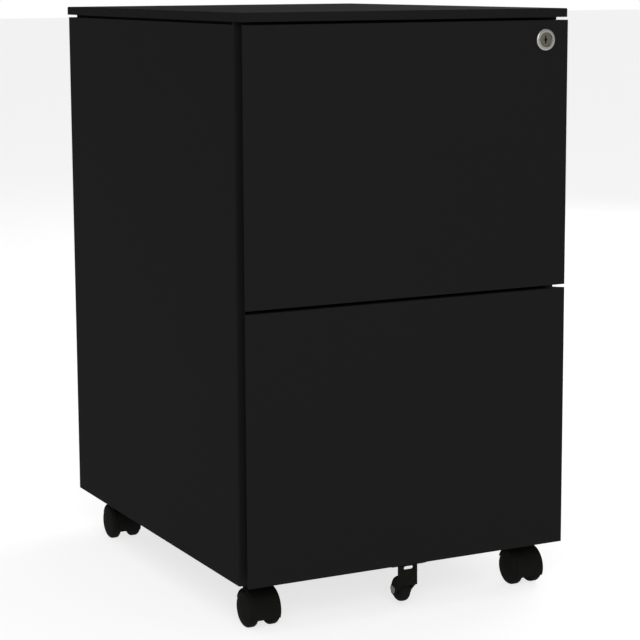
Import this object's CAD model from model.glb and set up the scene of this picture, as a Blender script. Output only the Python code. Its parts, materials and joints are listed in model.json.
import json
import math

import bmesh
import bpy
from mathutils import Matrix, Vector


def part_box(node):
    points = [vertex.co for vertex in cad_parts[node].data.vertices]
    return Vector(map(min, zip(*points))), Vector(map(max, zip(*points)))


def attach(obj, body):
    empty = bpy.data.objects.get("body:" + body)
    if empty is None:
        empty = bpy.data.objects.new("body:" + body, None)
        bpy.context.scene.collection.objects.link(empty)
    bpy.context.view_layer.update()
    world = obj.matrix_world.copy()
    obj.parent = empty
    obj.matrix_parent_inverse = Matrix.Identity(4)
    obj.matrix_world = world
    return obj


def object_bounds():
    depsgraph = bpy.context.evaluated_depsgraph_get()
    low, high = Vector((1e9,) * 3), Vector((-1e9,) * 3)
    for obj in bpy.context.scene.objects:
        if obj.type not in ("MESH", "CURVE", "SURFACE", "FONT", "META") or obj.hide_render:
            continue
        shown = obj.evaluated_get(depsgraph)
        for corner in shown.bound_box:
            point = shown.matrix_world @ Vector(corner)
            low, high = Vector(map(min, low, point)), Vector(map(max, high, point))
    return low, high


# Looks of a two-drawer steel pedestal cabinet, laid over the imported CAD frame.
# Metres, in the CAD frame: +X is the user's right, the drawer fronts face -Y, +Z is up.

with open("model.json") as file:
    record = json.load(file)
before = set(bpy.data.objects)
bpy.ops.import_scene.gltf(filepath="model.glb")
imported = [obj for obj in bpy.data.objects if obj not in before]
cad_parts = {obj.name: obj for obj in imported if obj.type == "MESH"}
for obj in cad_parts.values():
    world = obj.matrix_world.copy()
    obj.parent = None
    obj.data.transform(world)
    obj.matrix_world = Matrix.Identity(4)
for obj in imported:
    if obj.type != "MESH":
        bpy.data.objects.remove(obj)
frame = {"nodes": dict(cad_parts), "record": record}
cad_low, cad_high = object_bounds()
nodes = frame["nodes"]
scene = bpy.context.scene
MM = 0.001


# ---- camera ----------------------------------------------------------------
CAMERA_PLACE = (-1.0569, -2.099, 0.6871)
CAMERA_YAW = 27.137            # degrees from +Y towards +X
CAMERA_PITCH = -8.798          # below the horizon
CAMERA_ROLL = -0.282
LENS = 113.87                  # millimetres
SENSOR = 36.0                  # millimetres, across
SHIFT_UP = -0.05               # in frame widths
NEAR_CLIP = 0.05


def make_camera():
    """Camera at the photograph's viewing angle."""
    data = bpy.data.cameras.new("camera")
    data.sensor_width = SENSOR
    data.lens = LENS
    data.shift_y = SHIFT_UP
    data.clip_start = NEAR_CLIP
    camera = bpy.data.objects.new("camera", data)
    scene.collection.objects.link(camera)
    yaw, pitch, roll = (math.radians(a) for a in (CAMERA_YAW, CAMERA_PITCH, CAMERA_ROLL))
    level = math.cos(pitch)
    ahead = Vector((math.sin(yaw) * level, math.cos(yaw) * level, math.sin(pitch)))
    upright = ahead.to_track_quat("-Z", "Y").to_matrix()
    turn = upright @ Matrix.Rotation(roll, 3, "Z")
    camera.matrix_world = Matrix.Translation(CAMERA_PLACE) @ turn.to_4x4()
    scene.camera = camera


# ---- material building blocks ----------------------------------------------
NOISE_LOW, NOISE_HIGH = 0.3, 0.7    # where most of a noise's values lie


class Shader:
    """A new node material, with short calls that add nodes to it."""

    def __init__(self, name, color, rough, metallic=0.0, specular=0.5):
        self.material = bpy.data.materials.new(name)
        self.material.use_nodes = True
        self.tree = self.material.node_tree
        self.surface = self.tree.nodes["Principled BSDF"]
        self.surface.inputs["Base Color"].default_value = (*color, 1.0)
        self.surface.inputs["Roughness"].default_value = rough
        self.surface.inputs["Metallic"].default_value = metallic
        self.surface.inputs["Specular IOR Level"].default_value = specular
        self.places = self.tree.nodes.new("ShaderNodeTexCoord").outputs["Object"]

    def add(self, kind, **values):
        """A node with its inputs set by name; a socket as a value is linked."""
        made = self.tree.nodes.new(kind)
        for name, value in values.items():
            self.put(made.inputs[name.replace("_", " ")], value)
        return made

    def put(self, socket, value):
        """Link a socket to an output, or set its value."""
        if isinstance(value, bpy.types.NodeSocket):
            self.tree.links.new(value, socket)
        else:
            socket.default_value = value

    def stretched(self, x, y, z):
        """Object places scaled along each axis, for streaks and brushing."""
        return self.add("ShaderNodeMapping", Vector=self.places, Scale=(x, y, z)).outputs["Vector"]

    def noise(self, scale, detail=2.0, places=None):
        """Noise from 0 to 1; scale is in cycles per metre."""
        made = self.add("ShaderNodeTexNoise", Vector=places or self.places,
                        Scale=scale, Detail=detail)
        return made.outputs["Fac"]

    def ramp(self, value, low, high):
        """Stretch the middle of a noise to run from low to high."""
        made = self.add("ShaderNodeMapRange", Value=value, From_Min=NOISE_LOW,
                        From_Max=NOISE_HIGH, To_Min=low, To_Max=high)
        return made.outputs["Result"]

    def mix(self, share, first, second):
        """Two colours mixed by a share."""
        made = self.tree.nodes.new("ShaderNodeMix")
        made.data_type = "RGBA"
        self.put(made.inputs["Factor"], share)
        self.put(made.inputs["A"], first)
        self.put(made.inputs["B"], second)
        return made.outputs["Result"]

    def tint(self, share, color, low, high):
        """A colour that runs from low to high times itself by a share."""
        return self.mix(share, shade(color, low), shade(color, high))

    def color(self, value):
        """Set the surface's colour."""
        self.put(self.surface.inputs["Base Color"], value)

    def rough(self, value):
        """Set the surface's roughness."""
        self.put(self.surface.inputs["Roughness"], value)

    def bump(self, *layers):
        """Stack of (height, strength, depth in metres) bumps."""
        normal = None
        for height, strength, depth in layers:
            made = self.add("ShaderNodeBump", Height=height, Strength=strength, Distance=depth)
            if normal:
                self.put(made.inputs["Normal"], normal)
            normal = made.outputs["Normal"]
        self.put(self.surface.inputs["Normal"], normal)


def shade(color, factor):
    """A colour made lighter or darker, with its alpha."""
    return (*(c * factor for c in color), 1.0)


# ---- materials, one function per finish ------------------------------------
# Noise scales are in cycles per metre. A bump is (height, strength, depth in metres).
def powder_coat(name, color, specular):
    """Fine-texture powder coat: tiny grain over a faint orange peel."""
    speck_scale, grain_scale, peel_scale, cloud_scale = 2600.0, 1500.0, 160.0, 5.0
    coat = Shader(name, color, 0.74, specular=specular)
    cloud = coat.ramp(coat.noise(cloud_scale, 3.0), 0.0, 1.0)
    speck = coat.ramp(coat.noise(speck_scale, 1.0), 0.0, 1.0)
    tone = coat.tint(cloud, color, 0.985, 1.015)
    coat.color(coat.mix(speck, tone, shade(color, 1.25)))
    coat.rough(coat.ramp(coat.noise(900.0, 2.0), 0.70, 0.78))
    coat.bump((coat.noise(grain_scale, 2.0), 0.35, 0.06 * MM),
              (coat.noise(peel_scale, 2.0), 0.06, 0.1 * MM))
    return coat.material


def zinc_plate(name, color, rough):
    """Bright zinc plate on rolled steel, with rolling lines along its length."""
    line_scale, line_stretch, cloud_scale = 420.0, 0.02, 28.0
    zinc = Shader(name, color, rough, metallic=1.0)
    lines = zinc.noise(line_scale, 4.0, zinc.stretched(1.0, line_stretch, 1.0))
    cloud = zinc.ramp(zinc.noise(cloud_scale, 4.0), 0.0, 1.0)
    warm = (color[0] * 1.03, color[1], color[2] * 0.93, 1.0)
    cool = (color[0] * 0.95, color[1] * 0.99, color[2] * 1.04, 1.0)
    zinc.color(zinc.mix(cloud, warm, cool))
    zinc.rough(zinc.ramp(lines, rough - 0.07, rough + 0.09))
    zinc.bump((lines, 0.12, 0.05 * MM))
    return zinc.material


def nickel_plate(name, color):
    """Nickel plate with a soft polish, for the lock's ring."""
    cloud_scale, streak_scale, grain_scale = 220.0, 900.0, 1100.0
    nickel = Shader(name, color, 0.30, metallic=1.0)
    nickel.color(nickel.tint(nickel.ramp(nickel.noise(cloud_scale), 0.0, 1.0), color, 0.96, 1.02))
    nickel.rough(nickel.ramp(nickel.noise(streak_scale, 3.0), 0.26, 0.36))
    nickel.bump((nickel.noise(grain_scale, 2.0), 0.06, 0.03 * MM))
    return nickel.material


def satin_metal(name, color):
    """Dull cast or pressed metal."""
    cloud_scale, streak_scale, grain_scale = 500.0, 1400.0, 1800.0
    metal = Shader(name, color, 0.38, metallic=1.0)
    metal.color(metal.tint(metal.ramp(metal.noise(cloud_scale, 3.0), 0.0, 1.0), color, 0.82, 1.1))
    metal.rough(metal.ramp(metal.noise(streak_scale, 3.0), 0.30, 0.48))
    metal.bump((metal.noise(grain_scale, 3.0), 0.15, 0.04 * MM))
    return metal.material


def moulded_nylon(name, color, rough):
    """Spark-eroded nylon: fine even grain, a little cloudiness."""
    cloud_scale, patch_scale, grain_scale = 60.0, 130.0, 3200.0
    nylon = Shader(name, color, rough, specular=0.03)
    nylon.color(nylon.tint(nylon.ramp(nylon.noise(cloud_scale, 3.0), 0.0, 1.0), color, 0.88, 1.12))
    nylon.rough(nylon.ramp(nylon.noise(patch_scale, 3.0), rough - 0.05, rough + 0.07))
    nylon.bump((nylon.noise(grain_scale, 2.0), 0.25, 0.05 * MM))
    return nylon.material


def acetal(name, color):
    """Natural acetal, slightly translucent."""
    cloud_scale, grain_scale = 70.0, 1500.0
    plastic = Shader(name, color, 0.42)
    plastic.surface.inputs["Subsurface Weight"].default_value = 0.15
    plastic.surface.inputs["Subsurface Radius"].default_value = (0.002, 0.0018, 0.0014)
    plastic.color(plastic.tint(plastic.ramp(plastic.noise(cloud_scale), 0.0, 1.0), color, 0.95, 1.03))
    plastic.bump((plastic.noise(grain_scale), 0.1, 0.05 * MM))
    return plastic.material


COAT_BLACK = (0.0088, 0.0088, 0.0088)
LID_BLACK = (0.0084, 0.0084, 0.0084)
finishes = {
    "powder_coat": powder_coat("powder_coat", COAT_BLACK, 0.018),
    "lid_coat": powder_coat("lid_coat", LID_BLACK, 0.016),
    "zinc_steel": zinc_plate("zinc_steel", (0.60, 0.60, 0.58), 0.36),
    "screw_steel": zinc_plate("screw_steel", (0.56, 0.56, 0.54), 0.30),
    "nickel": nickel_plate("nickel", (0.41, 0.405, 0.39)),
    "plug_metal": satin_metal("plug_metal", (0.165, 0.160, 0.123)),
    "rivet_steel": satin_metal("rivet_steel", (0.13, 0.13, 0.127)),
    "caster_plastic": moulded_nylon("caster_plastic", (0.0062, 0.0062, 0.0050), 0.72),
    "wheel_plastic": moulded_nylon("wheel_plastic", (0.0068, 0.0068, 0.0057), 0.76),
    "guide_plastic": acetal("guide_plastic", (0.74, 0.73, 0.69)),
}
slot_of = {part["node"]: part["material_slot"] for part in frame["record"]["subparts"]}


def paint(piece, slot):
    """Give a piece one finish, by its material slot."""
    piece.data.materials.clear()
    piece.data.materials.append(finishes[slot])


for name, node in nodes.items():
    paint(node, slot_of[name])


# ---- small pieces the CAD leaves out ---------------------------------------
def keep_piece(name, mesh_parts, slot, body):
    """Make one object from a bmesh, with smooth shading, a finish and a body."""
    mesh = bpy.data.meshes.new(name)
    mesh_parts.to_mesh(mesh)
    mesh_parts.free()
    mesh.shade_smooth()
    piece = bpy.data.objects.new(name, mesh)
    scene.collection.objects.link(piece)
    paint(piece, slot)
    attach(piece, body)


def slab(parts, low, high):
    """A thin flat strip between two corners."""
    middle, size = (Vector(low) + Vector(high)) / 2, Vector(high) - Vector(low)
    place = Matrix.Translation(middle) @ Matrix.Diagonal((*size, 1.0))
    bmesh.ops.create_cube(parts, size=1.0, matrix=place)


BALL_PITCH = 12.0 * MM
BALL_RUN = 100.0 * MM          # length of one row of balls
CAGE_HALF = 1.9 * MM
CAGE_THICK = 0.5 * MM
CAGE_END = 4.0 * MM            # cage beyond the last ball
BALL_DETAIL = 2
# radius, depth from the middle member's outer face, height from its centre line
BALL_ROWS = {"rear": (1.45 * MM, 3.1 * MM, 19.55 * MM), "front": (1.9 * MM, 4.8 * MM, 14.55 * MM)}


def slide_balls(level):
    """Rows of steel balls in their cages, on both sides of a drawer's middle members."""
    low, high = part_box(f"{level}_middle_slides")
    centre_z = (low.z + high.z) / 2
    parts = bmesh.new()
    for end, (radius, depth, rise) in BALL_ROWS.items():
        start = low.y + BALL_PITCH if end == "front" else high.y - BALL_PITCH - BALL_RUN
        for side in (-1, 1):
            for above in (-1, 1):
                x, z = side * (high.x - depth), centre_z + above * rise
                slab(parts, (x - CAGE_HALF, start - CAGE_END, z - CAGE_THICK / 2),
                     (x + CAGE_HALF, start + BALL_RUN + CAGE_END, z + CAGE_THICK / 2))
                for k in range(int(BALL_RUN / BALL_PITCH) + 1):
                    place = Matrix.Translation((x, start + k * BALL_PITCH, z))
                    bmesh.ops.create_icosphere(parts, subdivisions=BALL_DETAIL, radius=radius,
                                               matrix=place)
    keep_piece(f"{level}_slide_balls", parts, "screw_steel", f"{level}_middle_slides")


BUMPER_PROFILE = ((3.6, 0.0), (3.6, 1.6), (3.1, 2.6), (2.0, 3.1))   # radius and height, mm
BUMPER_SIDES = 24
BUMPER_X = 0.12
BUMPER_RISE = 5.0 * MM         # above the bottom panel's lower edge
BUMPER_DROP = 11.0 * MM        # below the top rail's upper edge


def bumper(parts, place):
    """A soft dome that the closed drawer front rests near, facing -Y."""
    rings = []
    for radius, height in BUMPER_PROFILE:
        ring = []
        for k in range(BUMPER_SIDES):
            angle = 2 * math.pi * k / BUMPER_SIDES
            x, z = radius * math.cos(angle), radius * math.sin(angle)
            ring.append(parts.verts.new(place + Vector((x, -height, z)) * MM))
        rings.append(ring)
    for outer, inner in zip(rings, rings[1:]):
        for k in range(BUMPER_SIDES):
            after = (k + 1) % BUMPER_SIDES
            parts.faces.new((outer[k], outer[after], inner[after], inner[k]))
    parts.faces.new(rings[-1])
    parts.faces.new(rings[0][::-1])


def drawer_bumpers():
    """Two bumpers on the carcass behind each drawer front."""
    parts = bmesh.new()
    tray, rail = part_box("bottom_panel"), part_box("front_top_rail")
    front, lower_z, upper_z = tray[0].y, tray[0].z + BUMPER_RISE, rail[1].z - BUMPER_DROP
    for x in (-BUMPER_X, BUMPER_X):
        for z in (lower_z, upper_z):
            bumper(parts, Vector((x, front, z)))
    bmesh.ops.recalc_face_normals(parts, faces=parts.faces)
    keep_piece("drawer_bumpers", parts, "wheel_plastic", "cabinet")


for level in ("lower", "upper"):
    slide_balls(level)
drawer_bumpers()


# ---- floor and light -------------------------------------------------------
FLOOR_HALF = 30.0
FLOOR_GLOW = 0.74
FLOOR_TONES = (0.34, 0.36)
SURROUND_LIGHT = 0.4           # the white surroundings light the object less than they show
# name, place, side of the square, watts
SOFT_BOXES = (
    ("key", (-1.5, -3.3, 1.9), 2.2, 80.0),
    ("top", (0.3, 0.4, 3.6), 3.0, 26.0),
    ("far_side", (2.6, 1.6, 1.7), 2.0, 45.0),
)


def pale_floor():
    """Matt pale floor that reaches the horizon."""
    mesh = bpy.data.meshes.new("floor")
    ways = ((-1, -1), (1, -1), (1, 1), (-1, 1))
    corners = [(x * FLOOR_HALF, y * FLOOR_HALF, 0.0) for x, y in ways]
    mesh.from_pydata(corners, [], [(0, 1, 2, 3)])
    floor = bpy.data.objects.new("floor", mesh)
    scene.collection.objects.link(floor)
    pale = Shader("floor_paint", (0.35, 0.35, 0.35), 0.9, specular=0.05)
    low, high = ((tone, tone, tone, 1.0) for tone in FLOOR_TONES)
    pale.color(pale.mix(pale.noise(0.7), low, high))
    pale.surface.inputs["Emission Color"].default_value = (1.0, 1.0, 1.0, 1.0)
    pale.surface.inputs["Emission Strength"].default_value = FLOOR_GLOW
    mesh.materials.append(pale.material)


def soft_box(name, place, size, power):
    """Large square area light that faces the middle of the object."""
    data = bpy.data.lights.new(name, "AREA")
    data.shape = "SQUARE"
    data.size = size
    data.energy = power
    light = bpy.data.objects.new(name, data)
    scene.collection.objects.link(light)
    light.location = place
    middle = (cad_low + cad_high) / 2
    light.rotation_euler = (middle - Vector(place)).to_track_quat("-Z", "Y").to_euler()


def studio_light():
    """White surroundings and three soft boxes, the strongest of them beside the camera."""
    world = bpy.data.worlds.new("studio")
    scene.world = world
    world.use_nodes = True
    tree = world.node_tree
    background = tree.nodes["Background"]
    background.inputs["Color"].default_value = (1.0, 1.0, 1.0, 1.0)
    seen = tree.nodes.new("ShaderNodeMapRange")
    seen.inputs["To Min"].default_value = SURROUND_LIGHT
    seen.inputs["To Max"].default_value = 1.0
    ray = tree.nodes.new("ShaderNodeLightPath").outputs["Is Camera Ray"]
    tree.links.new(ray, seen.inputs["Value"])
    tree.links.new(seen.outputs["Result"], background.inputs["Strength"])
    for row in SOFT_BOXES:
        soft_box(*row)
    scene.view_settings.view_transform = "Standard"


make_camera()
pale_floor()
studio_light()
